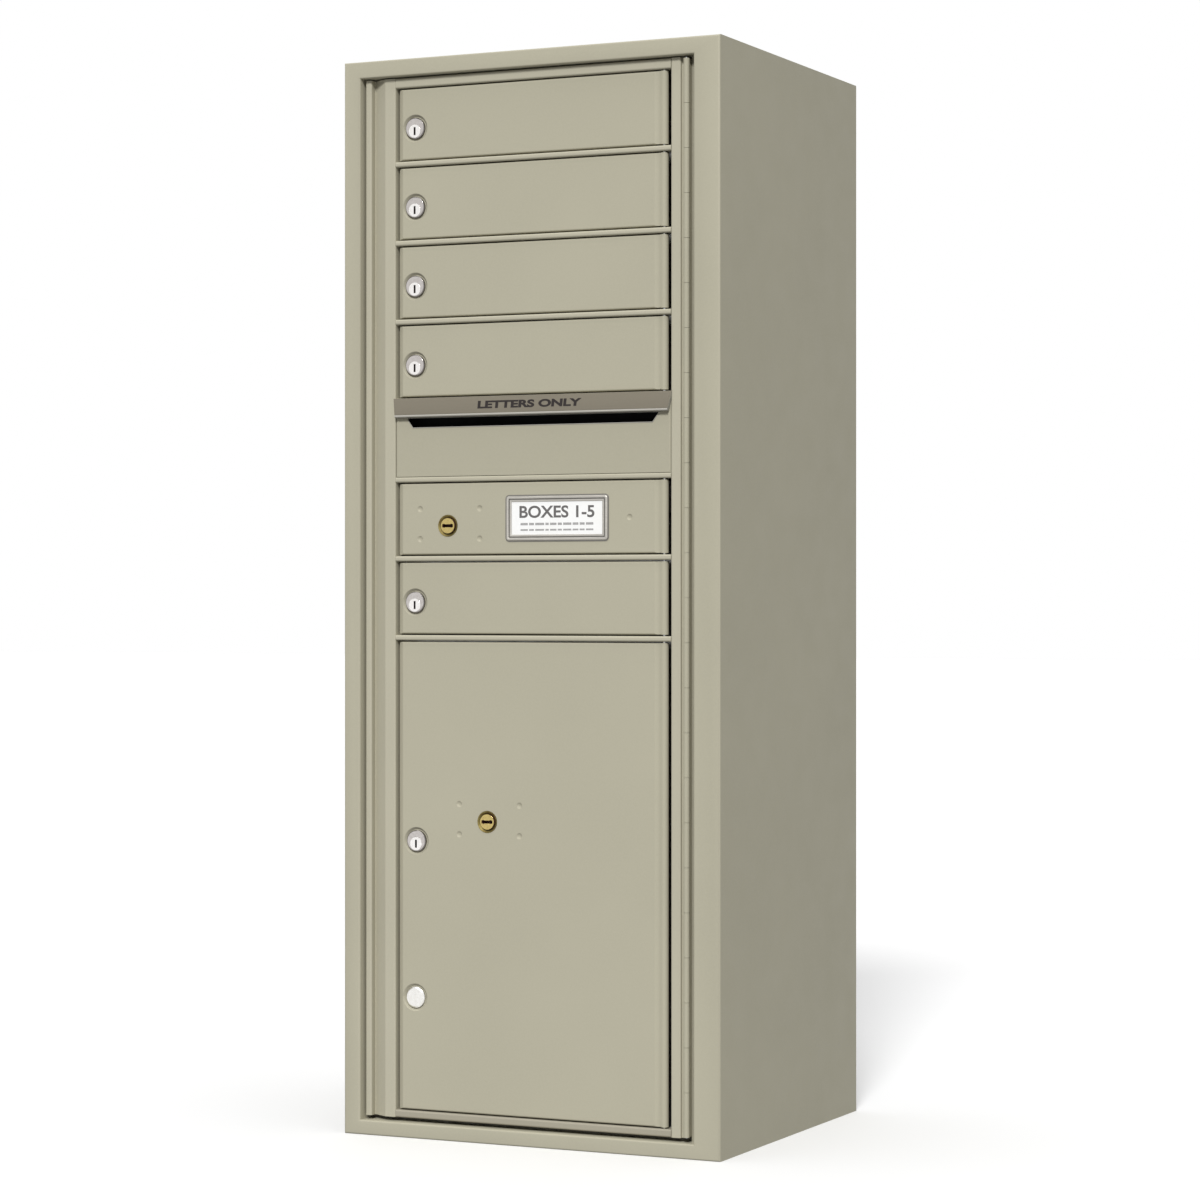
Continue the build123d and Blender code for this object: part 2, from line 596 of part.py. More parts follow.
def with_carrier_lock(pan, axis):
    """The pan with the round hole and the four studs of a carrier lock."""
    pan -= rod(axis[0], axis[1], SLEEVE_HOLE_R, (DOOR_Y - PAST, DOOR_Y + 2 * DOOR_SHEET))
    for across, height in stud_places(axis):
        pan = with_stud(pan, across, height, CASE_DEEP + NUT_THICK + STUD_PAST_NUT)
    return pan


def tenant_lock_height(index):
    """Height of the lock on the tenant door above a module line."""
    return level(index) + MODULE / 2 - LOCK_DROP


def make_doors():
    for number, index in enumerate(TENANT_LEVELS, 1):
        pan = door_pan(module_edges(index, DOOR_GAP))
        save(f"tenant_door_{number}", with_lock_dish(pan, LOCK_X, tenant_lock_height(index)))
    parcel = door_pan(parcel_edges())
    parcel = with_lock_dish(parcel, PARCEL_LOCK_X, PARCEL_LOCK_Z)
    parcel = with_lock_dish(parcel, LOCK_X, CAP_Z)
    save("parcel_door", with_carrier_lock(parcel, CONTROL_AXIS))


def make_lock_panel():
    """Fixed panel with the carrier's lock; two tabs tie its left edge to the stile."""
    edges = module_edges(LOCK_PANEL_LEVEL, DOOR_GAP)
    panel = with_carrier_lock(door_pan(edges), ARROW_AXIS)
    panel = with_stud(panel, SPARE_STUD_X, LABEL_AT[1], NUT_THICK + STUD_PAST_NUT)
    tab_y = (DOOR_Y + DOOR_RETURN - 2 * DOOR_SHEET, DOOR_Y + DOOR_RETURN - DOOR_SHEET)
    for low in (edges[0] + TAB_INSET, edges[1] - TAB_INSET - TAB_TALL):
        panel += block((-OPENING_X, DOOR_LEFT_X + DOOR_SHEET), tab_y, (low, low + TAB_TALL))
    save("lock_panel", panel)


# ================================================================ cam locks
def lock_body(x, z):
    """Lock shell with a bevelled round head and a stepped off-centre bore, and its fixing nut."""
    front = DOOR_Y - HEAD_PROUD
    seat = DOOR_Y + DISH_DEEP
    thick = seat - front
    head = [(0, 0), (HEAD_R - HEAD_BEVEL, 0), (HEAD_R, HEAD_BEVEL), (HEAD_R, thick), (0, thick)]
    shell = turned(head, x, front, z) + rod(x, z, BARREL_R, (seat, CAM_Y - BARREL_END_GAP))
    axis_z = z - PLUG_DROP
    shell -= rod(x, axis_z, PLUG_FACE_R + RUNNING_GAP, (front - PAST, front + PLUG_FACE + RUNNING_GAP))
    shell -= rod(x, axis_z, PLUG_R + RUNNING_GAP, (front, CAM_Y + PAST))
    nut_y = (seat + DOOR_SHEET, seat + DOOR_SHEET + BARREL_NUT)
    return shell, hex_nut(x, z, BARREL_NUT_FLATS, nut_y, BARREL_R + RUNNING_GAP)


def lock_plug(x, z):
    """Turning plug with a broad face, its keyway, a square tail through the cam and its screw."""
    axis_z = z - PLUG_DROP
    front = DOOR_Y - HEAD_PROUD - PLUG_PROUD
    half = TAIL_SIDE / 2
    plug = rod(x, axis_z, PLUG_FACE_R, (front, front + PLUG_PROUD + PLUG_FACE))
    plug += rod(x, axis_z, PLUG_R, (front + PLUG_PROUD, CAM_Y))
    plug -= block((x - KEYWAY[0] / 2, x + KEYWAY[0] / 2), (front - PAST, front + KEYWAY_DEEP),
                  (axis_z - KEYWAY[1] / 2, axis_z + KEYWAY[1] / 2))
    plug += block((x - half, x + half), (CAM_Y, CAM_Y + CAM_THICK), (axis_z - half, axis_z + half))
    return plug + rod(x, axis_z, TAIL_SCREW_R, (CAM_Y + CAM_THICK, CAM_Y + CAM_THICK + TAIL_SCREW))


def lock_cam(x, z):
    """Flat cam on the plug's tail, hanging down when the lock is open."""
    axis_z = z - PLUG_DROP
    half = TAIL_SIDE / 2 + RUNNING_GAP
    tip_z = axis_z - CAM_REACH + CAM_TIP_R
    outline = Pos(x, axis_z) * Circle(CAM_ROOT_R) + Pos(x, tip_z) * Circle(CAM_TIP_R)
    outline += make_face(Polyline((x - CAM_ROOT_R, axis_z), (x + CAM_ROOT_R, axis_z),
                                  (x + CAM_TIP_R, tip_z), (x - CAM_TIP_R, tip_z), close=True))
    outline -= Pos(x, axis_z) * Rectangle(2 * half, 2 * half)
    return slab(outline, (CAM_Y, CAM_Y + CAM_THICK))


def blank_cap(x, z):
    """Plain domed cap that fills an unused lock hole."""
    front = DOOR_Y - HEAD_PROUD
    thick = HEAD_PROUD + DISH_DEEP
    cap = [(0, 0), (HEAD_R - 2 * HEAD_BEVEL, CAP_CROWN), (HEAD_R, 2 * HEAD_BEVEL), (HEAD_R, thick)]
    cap += [(BARREL_R, thick), (BARREL_R, thick + BARREL_NUT), (0, thick + BARREL_NUT)]
    return turned(cap, x, front, z)


def make_cam_locks():
    places = [(f"tenant_lock_{{}}_{number}", LOCK_X, tenant_lock_height(index))
              for number, index in enumerate(TENANT_LEVELS, 1)]
    places.append(("parcel_lock_{}", PARCEL_LOCK_X, PARCEL_LOCK_Z))
    for name, x, z in places:
        save(name.format("body"), *lock_body(x, z))
        save(name.format("plug"), lock_plug(x, z))
        save(name.format("cam"), lock_cam(x, z))
    save("blank_cap", blank_cap(LOCK_X, CAP_Z))


# ================================================================ carrier locks
def lock_case(axis):
    """Lock case behind the panel, with a coned sleeve in front and a channel for the bolt."""
    x = (axis[0] + CASE_OFFSET[0] - CASE_SIZE[0] / 2, axis[0] + CASE_OFFSET[0] + CASE_SIZE[0] / 2)
    z = (axis[1] + CASE_OFFSET[1] - CASE_SIZE[1] / 2, axis[1] + CASE_OFFSET[1] + CASE_SIZE[1] / 2)
    front = DOOR_Y + DOOR_SHEET
    case = block(x, (front, front + CASE_DEEP), z)
    case = fillet(case.edges().filter_by(Axis.Y), CASE_CORNER)
    case += rod(axis[0], axis[1], SLEEVE_R, (DOOR_Y - SLEEVE_PROUD, front))
    bore = ARROW_PLUG_R + ARROW_PLUG_ROOM
    rim = SLEEVE_R - SLEEVE_RIM
    cone = [(0, -PAST), (rim, -PAST), (rim, 0), (bore, SLEEVE_CONE), (0, SLEEVE_CONE)]
    case -= turned(cone, axis[0], DOOR_Y - SLEEVE_PROUD, axis[1])
    case -= rod(axis[0], axis[1], bore, (DOOR_Y - PAST, BOLT_Y))
    crank_room = CRANK * 2 ** 0.5 + CRANK_PIN_R + BOLT_ROOM
    case -= block((x[0] - PAST, axis[0] + BOLT_TALL), (BOLT_Y - BOLT_ROOM, BOLT_Y + BOLT_THICK + BOLT_ROOM),
                  (axis[1] - crank_room, axis[1] + BOLT_TALL / 2 + BOLT_ROOM))
    for across, height in stud_places(axis):
        case -= rod(across, height, STUD_HOLE_R, (front - PAST, front + CASE_DEEP + PAST))
    return case


def arrow_plug(axis):
    """Brass plug with a two-lobed keyway across it and a crank pin that drives the bolt."""
    front = DOOR_Y - SLEEVE_PROUD - PLUG_PROUD
    plug = rod(axis[0], axis[1], ARROW_PLUG_R, (front, BOLT_Y - BOLT_ROOM))
    lobe = ARROW_KEYWAY[0] / 2 - ARROW_KEYWAY_LOBE_R
    keyway = Pos(*axis) * Rectangle(*ARROW_KEYWAY)
    for side in (-lobe, lobe):
        keyway += Pos(axis[0] + side, axis[1]) * Circle(ARROW_KEYWAY_LOBE_R)
    plug -= slab(keyway, (front - PAST, front + ARROW_KEYWAY_DEEP))
    pin_y = (BOLT_Y - BOLT_ROOM, BOLT_Y + BOLT_THICK)
    return plug + rod(axis[0] + CRANK, axis[1] - CRANK, CRANK_PIN_R, pin_y)


def lock_bolt(axis, tip_x):
    """Flat sliding bolt with a notch for the crank pin; it slides to the left to lock."""
    bolt_z = (axis[1] - BOLT_TALL / 2, axis[1] + BOLT_TALL / 2)
    bolt = block((tip_x, axis[0] + BOLT_HEEL), (BOLT_Y, BOLT_Y + BOLT_THICK), bolt_z)
    bolt = chamfer(bolt.edges().filter_by(Axis.Y).group_by(Axis.X)[0], BOLT_CHAMFER)
    notch_x = (axis[0] + CRANK - NOTCH_HALF, axis[0] + CRANK + NOTCH_HALF)
    notch_top = axis[1] - CRANK + CRANK_PIN_R + BOLT_ROOM
    return bolt - block(notch_x, (BOLT_Y - PAST, BOLT_Y + BOLT_THICK + PAST), (bolt_z[0] - PAST, notch_top))


def stud_nuts(axis):
    """Nuts that hold a lock case on its four studs."""
    rear = DOOR_Y + DOOR_SHEET + CASE_DEEP
    return [hex_nut(x, z, NUT_FLATS, (rear, rear + NUT_THICK), STUD_R + RUNNING_GAP)
            for x, z in stud_places(axis)]


def make_carrier_locks():
    rear = DOOR_Y + DOOR_SHEET
    spare = hex_nut(SPARE_STUD_X, LABEL_AT[1], NUT_FLATS, (rear, rear + NUT_THICK), STUD_R + RUNNING_GAP)
    save("arrow_lock_case", lock_case(ARROW_AXIS))
    save("arrow_lock_plug", arrow_plug(ARROW_AXIS))
    save("arrow_lock_bolt", lock_bolt(ARROW_AXIS, ARROW_BOLT_TIP_X))
    save("arrow_lock_nuts", *stud_nuts(ARROW_AXIS), spare)
    save("control_lock_case", lock_case(CONTROL_AXIS))
    save("control_lock_plug", arrow_plug(CONTROL_AXIS))
    save("control_lock_bolt", lock_bolt(CONTROL_AXIS, CONTROL_BOLT_TIP_X))
    save("control_lock_nuts", *stud_nuts(CONTROL_AXIS))


# ================================================================ outgoing mail and label
def outgoing_panel():
    """Panel flush with the frame, with a slot that is wider at its top."""
    edges = module_edges(OUTGOING_LEVEL, OUTLINE_GAP)
    half = DOOR_SHEET / 2
    side = OPENING_X - OUTLINE_GAP
    rear = OUTGOING_Y + OUTGOING_RETURN
    path = [(-side + half, rear), (-side + half, OUTGOING_Y + half)]
    path += [(side - half, OUTGOING_Y + half), (side - half, rear)]
    panel = folded_upright(path, DOOR_SHEET, edges)
    for low in (edges[0], edges[1] - DOOR_SHEET):
        panel += block((-side + DOOR_SHEET, side - DOOR_SHEET), (OUTGOING_Y + half, rear),
                       (low, low + DOOR_SHEET))
    slot = make_face(Polyline((-SLOT_HALF[0], SLOT_Z[0]), (SLOT_HALF[0], SLOT_Z[0]),
                              (SLOT_HALF[1], SLOT_Z[1]), (-SLOT_HALF[1], SLOT_Z[1]), close=True))
    return panel - slab(fillet(slot.vertices(), SLOT_CORNER), (OUTGOING_Y - PAST, OUTGOING_Y + 2 * DOOR_SHEET))


def outgoing_hood():
    """Rain hood over the slot: sloping face, upright lip, tapered ends, hollow behind."""
    face_y = (MASTER_Y - HOOD_PROUD[0], MASTER_Y - HOOD_PROUD[1])
    side = make_face(Polyline((MASTER_Y, HOOD_TOP_Z), (face_y[0], HOOD_TOP_Z), (face_y[1], HOOD_LIP_Z),
                              (face_y[1], HOOD_BOTTOM_Z), (MASTER_Y, HOOD_BOTTOM_Z), close=True))
    wedge = extrude(Plane.YZ.offset(-HOOD_HALF[1]) * side, 2 * HOOD_HALF[1])
    front = make_face(Polyline((-HOOD_HALF[0], HOOD_BOTTOM_Z), (HOOD_HALF[0], HOOD_BOTTOM_Z),
                               (HOOD_HALF[1], HOOD_TOP_Z), (-HOOD_HALF[1], HOOD_TOP_Z), close=True))
    wedge &= slab(front, (FRONT_Y, MASTER_Y))
    hollow_top = HOOD_TOP_Z - 3 * HOOD_WALL
    hollow_floor = HOOD_BOTTOM_Z + HOOD_WALL
    hollow = make_face(Polyline((MASTER_Y + PAST, hollow_top), (MASTER_Y - HOOD_WALL, hollow_top),
                                (face_y[1] + HOOD_WALL, HOOD_LIP_Z), (face_y[1] + HOOD_WALL, hollow_floor),
                                (MASTER_Y + PAST, hollow_floor), close=True))
    inside = HOOD_HALF[0] - 2 * HOOD_WALL
    return wedge - extrude(Plane.YZ.offset(-inside) * hollow, 2 * inside)


def outgoing_baffle():
    """Plate behind the slot that turns letters down and keeps hands out."""
    rear = OUTGOING_Y + DOOR_SHEET
    flange_y = rear + DOOR_SHEET / 2
    low, fold, top = [SLOT_Z[1] + above for above in BAFFLE_ABOVE_SLOT]
    path = [(flange_y, low), (flange_y, top), (rear + BAFFLE_BEHIND[0], fold)]
    path += [(rear + BAFFLE_BEHIND[1], SLOT_Z[0] - BAFFLE_BELOW_SLOT)]
    return folded_across(path, DOOR_SHEET, (-BAFFLE_HALF, BAFFLE_HALF))


def label_bezel():
    """Raised frame of the label, with a step in its inner edge and a rebate for the card."""
    x, z = LABEL_AT
    face = DOOR_Y - LABEL_PROUD
    frame = slab(Pos(x, z) * RectangleRounded(*LABEL_SIZE, LABEL_ROUND), (face, DOOR_Y))
    frame = fillet(frame.faces().sort_by(Axis.Y)[0].edges(), LABEL_EDGE)
    frame -= slab(Pos(x, z) * Rectangle(*CARD_WINDOW), (face - PAST, DOOR_Y + PAST))
    extra, step_deep, step_round = LABEL_STEP
    step = RectangleRounded(CARD_WINDOW[0] + extra, CARD_WINDOW[1] + extra, step_round)
    frame -= slab(Pos(x, z) * step, (face - PAST, face + step_deep))
    rebate = [size + CARD_ROOM for size in CARD_SIZE]
    return frame - slab(Pos(x, z) * Rectangle(*rebate), (DOOR_Y - CARD_THICK - CARD_ROOM, DOOR_Y + PAST))


def make_outgoing_and_label():
    x, z = LABEL_AT
    save("outgoing_panel", outgoing_panel())
    save("outgoing_hood", outgoing_hood())
    save("outgoing_baffle", outgoing_baffle())
    save("label_bezel", label_bezel())
    save("label_card", slab(Pos(x, z) * Rectangle(*CARD_SIZE), (DOOR_Y - CARD_THICK, DOOR_Y)))


os.makedirs("parts", exist_ok=True)
make_collar()
make_cabinet()
make_hinge()
make_master_door()
make_doors()
make_lock_panel()
make_cam_locks()
make_carrier_locks()
make_outgoing_and_label()
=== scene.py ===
import json
import math

import bmesh
import bpy
from mathutils import Matrix, Vector


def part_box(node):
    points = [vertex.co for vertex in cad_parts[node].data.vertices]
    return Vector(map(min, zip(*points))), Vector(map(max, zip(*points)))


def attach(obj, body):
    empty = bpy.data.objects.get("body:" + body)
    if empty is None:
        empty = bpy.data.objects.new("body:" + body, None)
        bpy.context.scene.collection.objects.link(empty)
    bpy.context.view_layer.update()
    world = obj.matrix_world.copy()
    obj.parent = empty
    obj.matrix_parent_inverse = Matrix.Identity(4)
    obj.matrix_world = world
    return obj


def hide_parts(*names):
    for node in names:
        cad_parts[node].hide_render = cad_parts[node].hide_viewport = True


# Looks of the cluster mailbox unit: materials for every CAD node, a one-piece collar, a finer
# rain hood and label frame, generic lettering, light, floor and camera.  Metres, in the frame
# of the CAD model.

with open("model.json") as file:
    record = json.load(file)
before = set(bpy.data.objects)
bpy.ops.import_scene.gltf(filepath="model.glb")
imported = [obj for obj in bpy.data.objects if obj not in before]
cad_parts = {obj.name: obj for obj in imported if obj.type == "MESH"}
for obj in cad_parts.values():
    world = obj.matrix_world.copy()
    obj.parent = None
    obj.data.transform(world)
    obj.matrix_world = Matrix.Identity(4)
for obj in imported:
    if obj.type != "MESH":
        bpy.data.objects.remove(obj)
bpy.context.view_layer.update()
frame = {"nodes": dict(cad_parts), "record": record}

MM = 0.001
NODES = frame["nodes"]

# ---------------------------------------------------------------- camera and light
CAMERA_PLACE = (1.670, -3.534, 0.602)
CAMERA_TURN = 25.39                 # degrees, anticlockwise seen from above
CAMERA_LENS = 101.2
CAMERA_SENSOR = 36.0
CAMERA_SHIFT_Y = 0.0018
LAMPS = (                           # name, azimuth, elevation and spread in degrees, power
    ("key", 18.2, 35.0, 12.0, 2.70),
    ("overhead", 0.0, 84.0, 50.0, 1.10),
)
LAMP_DISTANCE = 4.0                 # only where the lamps stand; a sun is as strong anywhere
AMBIENT = 0.35                      # strength of the light from all round
BACKGROUND_WHITE = 1.0
FLOOR_SIZE = 60.0
FLOOR_COLOUR = (0.88, 0.88, 0.88)

JAMB_BORDER = -171.0 * MM           # the cabinet's folds ahead of this depth are painted
RING_PITCH = 0.5 * MM               # turning marks on the locks

# ---------------------------------------------------------------- paint colours, linear
PAINT = (0.424, 0.402, 0.309)
# painted light: the frame paint is a lighter copy of the door paint, for the bars' brighter look
LIT_FRAME_PAINT = (0.452, 0.428, 0.334)
# painted shade: the hood's face paint is the panel paint darkened for the shade on its sloping face
HOOD_SHADED_PAINT = (0.182, 0.163, 0.126)
LIP_PAINT = (0.400, 0.385, 0.345)
PAINT_GLOSS = 0.12                  # specular level of the powder coat
PANEL_PAINTED_SHADE = 0.95                  # painted shade: the outgoing panel is a little darker than the doors, for the shadow near the hood
JAMB_PAINTED_SHADE = 0.8                    # and so is the paint on the cabinet's folds, as painted shade for the gaps by the doors
SHADED_BOTTOM_RAIL_PAINT = (0.350, 0.325, 0.258)  # painted shade: darker and browner than the rest of the frame, for the shade on the rail
HOOD_INK = (0.020, 0.016, 0.015)
INK_GLOSS = 0.2                     # specular level of the ink
TITLE_INK = (0.120, 0.115, 0.112)
RULE_INK = (0.330, 0.325, 0.320)
KEYWAY_SHADE = (0.022, 0.012, 0.008)      # painted shade inside the keyways
BROWN_KEYWAY_SHADE = (0.070, 0.020, 0.014)  # the same painted shade, browner, in the brass locks

# ---------------------------------------------------------------- metal and card colours, linear
BARE_SHEET = (0.62, 0.62, 0.60)
ZINC = (0.58, 0.58, 0.57)
CHROME, CHROME_DULL = (0.90, 0.88, 0.86), (0.70, 0.67, 0.64)
LOCK_HEAD, LOCK_HEAD_DULL = (0.56, 0.53, 0.51), (0.40, 0.37, 0.35)
CAP, CAP_DULL = (0.84, 0.83, 0.80), (0.70, 0.68, 0.65)
BRASS, BRASS_DULL = (0.56, 0.44, 0.17), (0.38, 0.29, 0.11)
SLEEVE_BRASS = (0.23, 0.19, 0.070)
LABEL_METAL = (0.46, 0.44, 0.40)
CARD = (0.90, 0.90, 0.89)
CHROME_KEYWAY = 8.0 * MM            # depths of the keyways
BRASS_KEYWAY = 9.0 * MM
LOCK_HEAD_RIM = 10.6 * MM           # radii where the painted shade round the rims begins
CAP_RIM = 11.3 * MM

# ---------------------------------------------------------------- collar
COLLAR_SHEET = 2.0 * MM
COLLAR_BEND = 2.25 * MM             # outer radius of the folds
COLLAR_LIP = 24.0 * MM              # how far its inner lips reach back

# ---------------------------------------------------------------- rain hood and slot
HOOD_TOP_PROUD = 1.2 * MM
HOOD_LIP_TALL = 2.6 * MM
HOOD_NECK = 0.9 * MM                # the face ends this far behind the lip
HOOD_EDGE = 0.4 * MM                # chamfer along its top edge
HOOD_CREASE = 0.3 * MM              # the face ends this far above the lip
HOOD_FLARE = 3.8 * MM               # each end leans out by this much from bottom to top
HOOD_LIP_STEPS = 8                  # flats round the front half of the rolled lip
HOOD_DARK_FACES = 3                 # its top, chamfer and slope, in the paint darkened as painted shade; the other faces are pale
HOOD_SHARP = 50.0                   # degrees; sharper edges of the hood stay sharp
HOOD_TEXT = "LETTERS ONLY"
HOOD_TEXT_SIZE = (128.0 * MM, 9.0 * MM)
THIN, BOLD = 0.022, 0.045           # thickening of the letters' strokes
SLOT_LEVELS = (798.0 * MM, 809.0 * MM)
SLOT_HALF = (148.2 * MM, 156.2 * MM)
RIM_RADIUS = 0.55 * MM

# ---------------------------------------------------------------- label
LABEL_ROUND = 4.5 * MM              # outer corners of the label frame
LABEL_ROUND_LEAST = 0.3 * MM        # and its innermost ones
LABEL_ROUND_STEPS = 6
LABEL_PROFILE = (                   # inwards from the outer edge, and height over the panel
    (0.0, 0.0), (0.0, 0.5), (1.2, 0.5), (1.4, 1.2), (2.0, 1.8), (2.8, 2.0), (3.6, 1.9), (4.3, 1.5),
    (4.6, 0.3), (5.5, 0.3), (5.7, 1.3), (6.3, 1.5), (7.3, 1.3), (7.8, 0.9), (7.8, 0.0),
)
CARD_TITLE = "BOXES 1-5"
CARD_TITLE_SIZE = (92.0 * MM, 13.5 * MM)
CARD_TITLE_RISE = 7.0 * MM          # height of the title's middle over the card's middle
CARD_DASHES = (9, 6, 11, 4, 8, 5, 10, 7, 6, 9)  # lengths of the printed dashes, millimetres
CARD_DASH_GAP = 1.6 * MM
CARD_DASH_ROWS = ((-6.5 * MM, 2.6 * MM), (-13.0 * MM, 1.9 * MM))  # height on the card, thickness
INK_THICK = 0.10 * MM
INK_LIFT = 0.08 * MM


# ================================================================ material building
class Finish:
    """A material being built: its nodes, its shader, and coordinates in the CAD frame."""

    def __init__(self, name):
        self.material = bpy.data.materials.new(name)
        self.material.use_nodes = True
        self.tree = self.material.node_tree
        self.shader = self.tree.nodes["Principled BSDF"]
        coordinates = self.node("ShaderNodeTexCoord")
        self.place = coordinates.outputs["Object"]
        self.across = coordinates.outputs["Generated"]

    def node(self, kind, **settings):
        made = self.tree.nodes.new(kind)
        for key, value in settings.items():
            setattr(made, key, value)
        return made

    def feed(self, socket, value):
        """Links an output to a socket, or sets the socket to a plain value."""
        if isinstance(value, bpy.types.NodeSocket):
            self.tree.links.new(value, socket)
        else:
            socket.default_value = value

    def stretched(self, scale, source=None):
        mapping = self.node("ShaderNodeMapping", vector_type="POINT")
        self.feed(mapping.inputs["Vector"], source or self.place)
        mapping.inputs["Scale"].default_value = scale
        return mapping.outputs["Vector"]

    def noise(self, scale, detail=2.0, roughness=0.5, source=None):
        noise = self.node("ShaderNodeTexNoise")
        self.feed(noise.inputs["Vector"], source or self.place)
        noise.inputs["Scale"].default_value = scale
        noise.inputs["Detail"].default_value = detail
        noise.inputs["Roughness"].default_value = roughness
        return noise.outputs["Fac"]

    def between(self, value, low, high, out_low=0.0, out_high=1.0):
        """Remaps a value, clamped, from one range to another."""
        remap = self.node("ShaderNodeMapRange")
        self.feed(remap.inputs["Value"], value)
        for key, number in (("From Min", low), ("From Max", high), ("To Min", out_low), ("To Max", out_high)):
            remap.inputs[key].default_value = number
        return remap.outputs["Result"]

    def blend(self, factor, first, second):
        mix = self.node("ShaderNodeMix", data_type="RGBA")
        self.feed(mix.inputs[0], factor)
        self.feed(mix.inputs[6], first if isinstance(first, bpy.types.NodeSocket) else (*first, 1.0))
        self.feed(mix.inputs[7], second if isinstance(second, bpy.types.NodeSocket) else (*second, 1.0))
        return mix.outputs[2]

    def math(self, operation, first, second=0.0):
        step = self.node("ShaderNodeMath", operation=operation)
        self.feed(step.inputs[0], first)
        self.feed(step.inputs[1], second)
        return step.outputs[0]

    def rounded(self, radius):
        """Normal of the surface with its sharp edges softened."""
        bevel = self.node("ShaderNodeBevel", samples=4)
        bevel.inputs["Radius"].default_value = radius
        return bevel.outputs["Normal"]

    def edges(self, softened):
        """0 on flat faces, rising to 1 along the softened edges."""
        dot = self.node("ShaderNodeVectorMath", operation="DOT_PRODUCT")
        self.feed(dot.inputs[0], softened)
        self.feed(dot.inputs[1], self.node("ShaderNodeNewGeometry").outputs["Normal"])
        return self.between(dot.outputs["Value"], 1.0, 0.86)

    def bump(self, height, distance, strength=1.0, normal=None):
        bump = self.node("ShaderNodeBump")
        self.feed(bump.inputs["Height"], height)
        bump.inputs["Distance"].default_value = distance
        bump.inputs["Strength"].default_value = strength
        if normal is not None:
            self.feed(bump.inputs["Normal"], normal)
        return bump.outputs["Normal"]

    def radius(self, node):
        """Distance from the middle of a CAD node's box, seen from the front, in metres."""
        low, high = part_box(node)
        centred = self.node("ShaderNodeVectorMath", operation="SUBTRACT")
        self.feed(centred.inputs[0], self.across)
        centred.inputs[1].default_value = (0.5, 0.5, 0.5)
        real = self.stretched((high.x - low.x, 0.0, high.z - low.z), centred.outputs["Vector"])
        length = self.node("ShaderNodeVectorMath", operation="LENGTH")
        self.feed(length.inputs[0], real)
        return length.outputs["Value"]

    def depth(self):
        """Depth in the CAD frame."""
        split = self.node("ShaderNodeSeparateXYZ")
        self.feed(split.inputs["Vector"], self.place)
        return split.outputs["Y"]

    def finish(self, colour, roughness, normal, metallic=0.0, coat=0.0, gloss=0.5):
        self.feed(self.shader.inputs["Base Color"], colour)
        self.feed(self.shader.inputs["Roughness"], roughness)
        self.feed(self.shader.inputs["Normal"], normal)
        if metallic is not None:
            self.shader.inputs["Metallic"].default_value = metallic
        self.shader.inputs["Coat Weight"].default_value = coat
        self.shader.inputs["Specular IOR Level"].default_value = gloss
        return self.material


def shade(colour, factor):
    """A colour made lighter or darker."""
    return tuple(channel * factor for channel in colour)


# ================================================================ materials
def powder_coat(name, colour, soft_edge=0.5 * MM):
    """Baked powder paint: faint cloudiness, orange peel, paler along its edges."""
    f = Finish(name)
    cloud = f.between(f.noise(5.0, 3.0), 0.3, 0.7)
    grain = f.between(f.noise(420.0, 3.0, 0.65), 0.35, 0.65)
    peel = f.noise(900.0, 1.0)
    softened = f.rounded(soft_edge)
    worn = f.math("MULTIPLY", f.edges(softened), f.between(f.noise(60.0, 4.0), 0.42, 0.62))
    tint = f.blend(cloud, shade(colour, 0.965), shade(colour, 1.02))
    tint = f.blend(f.math("MULTIPLY", grain, 0.35), tint, shade(colour, 1.07))
    tint = f.blend(f.math("MULTIPLY", worn, 0.35), tint, shade(colour, 1.35))
    roughness = f.between(f.noise(30.0, 4.0), 0.3, 0.7, 0.44, 0.56)
    return f.finish(tint, roughness, f.bump(peel, 0.05 * MM, 0.35, softened), gloss=PAINT_GLOSS)


def mill_sheet(name, colour):
    """Bare rolled aluminium: long faint rolling marks, a few smudges."""
    f = Finish(name)
    rolled = f.noise(1.0, 4.0, 0.6, f.stretched((260.0, 9.0, 260.0)))
    smudge = f.between(f.noise(9.0, 5.0, 0.6), 0.4, 0.65)
    softened = f.rounded(0.3 * MM)
    tint = f.blend(f.between(rolled, 0.3, 0.7), shade(colour, 0.86), shade(colour, 1.06))
    tint = f.blend(f.math("MULTIPLY", smudge, 0.3), tint, shade(colour, 0.72))
    roughness = f.between(f.math("ADD", rolled, smudge), 0.5, 1.6, 0.30, 0.52)
    return f.finish(tint, roughness, f.bump(rolled, 0.02 * MM, 0.4, softened), metallic=1.0)


def zinc_plate(name, colour):
    """Plated steel: mottled passivate with a slight yellow and blue cast."""
    f = Finish(name)
    mottle = f.between(f.noise(240.0, 4.0, 0.6), 0.35, 0.65)
    cast = f.between(f.noise(70.0, 2.0), 0.4, 0.6)
    warm = (colour[0] * 1.05, colour[1], colour[2] * 0.86)
    cool = (colour[0] * 0.93, colour[1] * 0.98, colour[2] * 1.07)
    softened = f.rounded(0.25 * MM)
    tint = f.blend(f.math("MULTIPLY", mottle, 0.6), f.blend(cast, warm, cool), shade(colour, 0.78))
    roughness = f.between(mottle, 0.0, 1.0, 0.26, 0.42)
    return f.finish(tint, roughness, f.bump(mottle, 0.02 * MM, 0.3, softened), metallic=1.0)


